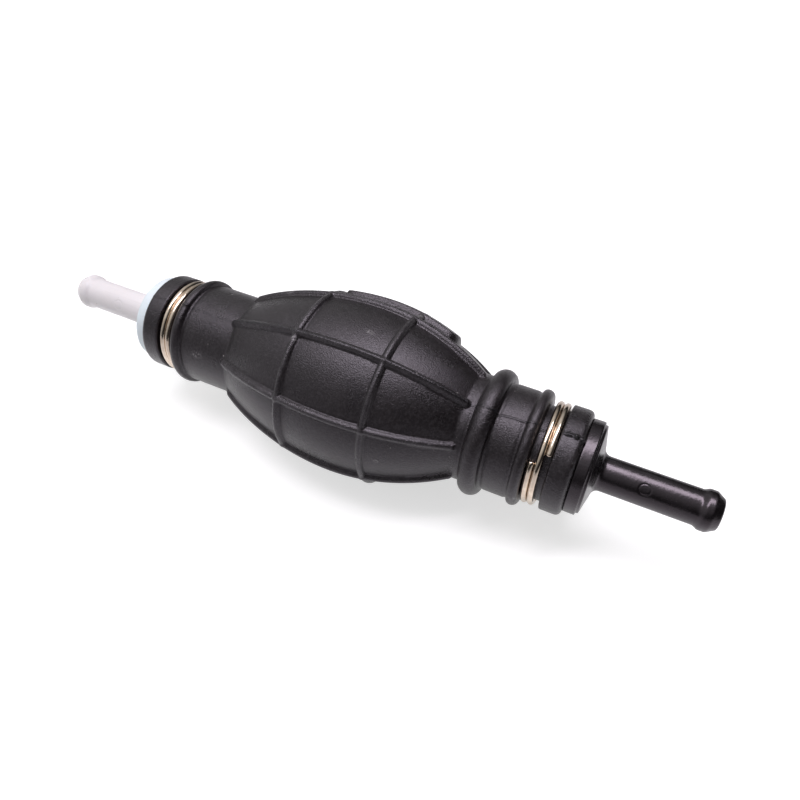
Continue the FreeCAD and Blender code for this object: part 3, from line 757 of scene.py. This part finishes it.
# %% Black nylon
black, tree, shader = new_material("black nylon", Specular_IOR_Level=0.65, Specular_Tint=(1.0, 0.88, 0.98, 1.0))
tone = use_group(tree, tone_group, Scale=300.0)
colour = blend_colour(tree, tone, (0.0030, 0.0024, 0.0028), (0.0060, 0.0050, 0.0056))
scratches = maths(tree, "MULTIPLY", use_group(tree, scratch_group, Scale=800.0), 0.2)
colour = blend_colour(tree, scratches, colour, (0.08, 0.08, 0.085))
dust = maths(tree, "MULTIPLY", use_group(tree, dust_group, Scale=1300.0, Size=0.1), 0.5)
colour = blend_colour(tree, dust, colour, (0.3, 0.3, 0.3))
link(tree, colour, shader.inputs["Base Color"])
link(tree, remap(tree, tone, 0, 1, 0.22, 0.29), shader.inputs["Roughness"])
bump(tree, shader, use_group(tree, grain_group, Scale=2200.0), 0.00004, 0.6)
dress(outlet_fitting, black)

# %% [markdown]
# ### Metals
# The clamp wire is bright nickel-plated steel with drawing lines along the wire. The wire's length is
# stored on the mesh, so the lines can run along it all the way round. The springs are plain steel.

# %% Clamp wire and spring steel
def metal(name, dark, light, rough):
    material, tree, shader = new_material(name, Metallic=1.0)
    tone = use_group(tree, tone_group, Scale=500.0)
    lines = add(tree, "ShaderNodeTexNoise", noise_dimensions="1D", Scale=0.55, Detail=6.0, Roughness=0.7)
    link(tree, attribute(tree, "along"), lines.inputs["W"])
    drawn = remap(tree, lines.outputs[0], 0.3, 0.7, 0.75, 1.0)
    shade = maths(tree, "MULTIPLY", remap(tree, tone, 0.0, 1.0, 0.45, 1.0), drawn)
    link(tree, blend_colour(tree, shade, dark, light), shader.inputs["Base Color"])
    scratch = use_group(tree, scratch_group, Scale=1500.0)
    link(tree, remap(tree, maths(tree, "ADD", scratch, tone), 0, 2, *rough), shader.inputs["Roughness"])
    bump(tree, shader, scratch, 0.00001, 0.4)
    return material


nickel = metal("clamp wire", (0.42, 0.30, 0.21), (0.83, 0.73, 0.62), (0.11, 0.23))
steel = metal("spring steel", (0.32, 0.31, 0.30), (0.58, 0.57, 0.56), (0.22, 0.42))
for name in ("inlet_clamp", "outlet_clamp"):
    dress(bpy.data.objects[name], nickel)
for name in ("inlet_spring", "outlet_spring"):
    dress(bpy.data.objects[name], steel)

# %% [markdown]
# ### Valve pieces
# Seats, poppets and cages are a creamy moulded acetal, and the seal is a softer black rubber. They sit
# inside the fittings, but a cutaway view would show them, so they get the same care.

# %% Valve materials
acetal, tree, shader = new_material("valve plastic", Specular_IOR_Level=0.5, Subsurface_Weight=0.1,
                                    Subsurface_Scale=0.0008)
tone = use_group(tree, tone_group, Scale=700.0)
link(tree, blend_colour(tree, tone, (0.60, 0.57, 0.50), (0.72, 0.70, 0.64)), shader.inputs["Base Color"])
link(tree, remap(tree, tone, 0, 1, 0.32, 0.45), shader.inputs["Roughness"])
bump(tree, shader, use_group(tree, grain_group, Scale=3000.0), 0.00002, 0.5)

seal_rubber, tree, shader = new_material("seal rubber", Specular_IOR_Level=0.4)
tone = use_group(tree, tone_group, Scale=800.0)
link(tree, blend_colour(tree, tone, (0.018, 0.017, 0.018), (0.035, 0.033, 0.034)), shader.inputs["Base Color"])
link(tree, remap(tree, tone, 0, 1, 0.5, 0.65), shader.inputs["Roughness"])
bump(tree, shader, use_group(tree, grain_group, Scale=3500.0), 0.00002, 0.6)

for side in ("inlet", "outlet"):
    for kind in ("valve_seat", "valve_poppet", "valve_cage"):
        dress(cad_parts["%s_%s" % (side, kind)], acetal)
    dress(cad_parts[side + "_poppet_seal"], seal_rubber)

# %% [markdown]
# ## Studio
# The pump lies on a plain pale table that keeps a soft shadow. Two glows are added to the floor. The camera
# alone sees one that turns it white, more so far from the pump. All other rays meet one close under the
# pump, as on a white sweep lit from below, which brightens the lower edge of the rubber.

# %% Floor
low = min(corner[2] for corner in cad_box)
mesh = bpy.data.meshes.new("floor")
FLOOR_HALF = 3.0
corners = [(along * FLOOR_HALF, beside * FLOOR_HALF, low)
           for along, beside in ((-1, -1), (1, -1), (1, 1), (-1, 1))]
mesh.from_pydata(corners, [], [(0, 1, 2, 3)])
floor = bpy.data.objects.new("floor", mesh)
bpy.context.scene.collection.objects.link(floor)
table, tree, shader = new_material("table", Roughness=0.9, Specular_IOR_Level=0.1)
shader.inputs["Base Color"].default_value = (0.62, 0.62, 0.62, 1)
paths = tree.nodes.new("ShaderNodeLightPath")
shader.inputs["Emission Color"].default_value = (1, 1, 1, 1)
place = tree.nodes.new("ShaderNodeTexCoord")
away = add(tree, "ShaderNodeVectorMath", operation="LENGTH")
link(tree, place.outputs["Object"], away.inputs[0])
whiteness = remap(tree, away.outputs["Value"], 0.18, 0.5, 0.62, 1.0)
seen = maths(tree, "MULTIPLY", paths.outputs["Is Camera Ray"], whiteness)
parts = tree.nodes.new("ShaderNodeSeparateXYZ")
link(tree, place.outputs["Object"], parts.inputs[0])
beside = maths(tree, "ABSOLUTE", parts.outputs["Y"], 0.0)
unseen = maths(tree, "SUBTRACT", 1.0, paths.outputs["Is Camera Ray"])
bounced = maths(tree, "MULTIPLY", unseen, remap(tree, beside, 0.012, 0.055, 0.55, 0.0))
link(tree, maths(tree, "ADD", seen, bounced), shader.inputs["Emission Strength"])
dress(floor, table)

# %% [markdown]
# ## Light
# The world is brightest overhead and towards the inlet, and almost dark at the horizon, which leaves the
# sides of the rubber deep black. To the camera it is plain white. One long softbox hangs overhead, set
# diagonally, and draws the long sheen along the top of the bulb.

# %% World and lamp
world = bpy.data.worlds.new("studio")
bpy.context.scene.world = world
world.use_nodes = True
tree = world.node_tree
background = tree.nodes["Background"]
place = tree.nodes.new("ShaderNodeTexCoord")
facing = tree.nodes.new("ShaderNodeVectorMath")
facing.operation = "DOT_PRODUCT"
facing.inputs[1].default_value = (-0.55, 0.0, 0.835)
link(tree, place.outputs["Generated"], facing.inputs[0])
glow = remap(tree, facing.outputs["Value"], 0.2, 1.0, 0.02, 0.86)
paths = tree.nodes.new("ShaderNodeLightPath")
shown = maths(tree, "MAXIMUM", paths.outputs["Is Camera Ray"], paths.outputs["Is Transmission Ray"])
link(tree, maths(tree, "MAXIMUM", shown, glow), background.inputs["Strength"])
background.inputs["Color"].default_value = (1, 1, 1, 1)


def lamp(name, place, aim, long_way, sizes, power, colour):
    """A rectangular area lamp in metres and watts, with its long side along long_way."""
    data = bpy.data.lights.new(name, "AREA")
    data.shape, data.energy, data.color = "RECTANGLE", power, colour
    data.size, data.size_y = sizes
    holder = bpy.data.objects.new(name, data)
    back = (Vector(place) - Vector(aim)).normalized()
    side = (Vector(long_way) - back * Vector(long_way).dot(back)).normalized()
    turn = Matrix((side, back.cross(side), back)).transposed().to_4x4()
    holder.matrix_world = Matrix.Translation(place) @ turn
    bpy.context.scene.collection.objects.link(holder)
    return holder


lamp("overhead", (-0.015, 0.02, 0.60), (0, 0, 0), (0.85, 0.78, 0), (0.66, 0.22), 3.8, (0.985, 0.935, 1.0))
bpy.context.scene.view_settings.view_transform = "Standard"

# %% [markdown]
# ## Camera
# The camera looks down at about forty eight degrees from the near side. Its place and lens were found by
# fitting a pinhole camera to the pump's straight centre line and round flanges.

# %% Camera
data = bpy.data.cameras.new("camera")
data.sensor_width, data.lens, data.clip_start = 36.0, 30.82, 0.005
camera = bpy.data.objects.new("camera", data)
camera.location = (0.059289, -0.103553, 0.115761)
ahead = Vector((-0.29293, 0.63811, -0.71205)).normalized()
across = Vector((0.90046, 0.43453, 0.01897)).normalized()
upward = across.cross(ahead)
camera.rotation_euler = Matrix((across, upward, -ahead)).transposed().to_euler()
bpy.context.scene.collection.objects.link(camera)
bpy.context.scene.camera = camera

# %% Print the sizes and finish
print("packed box", cad_box)
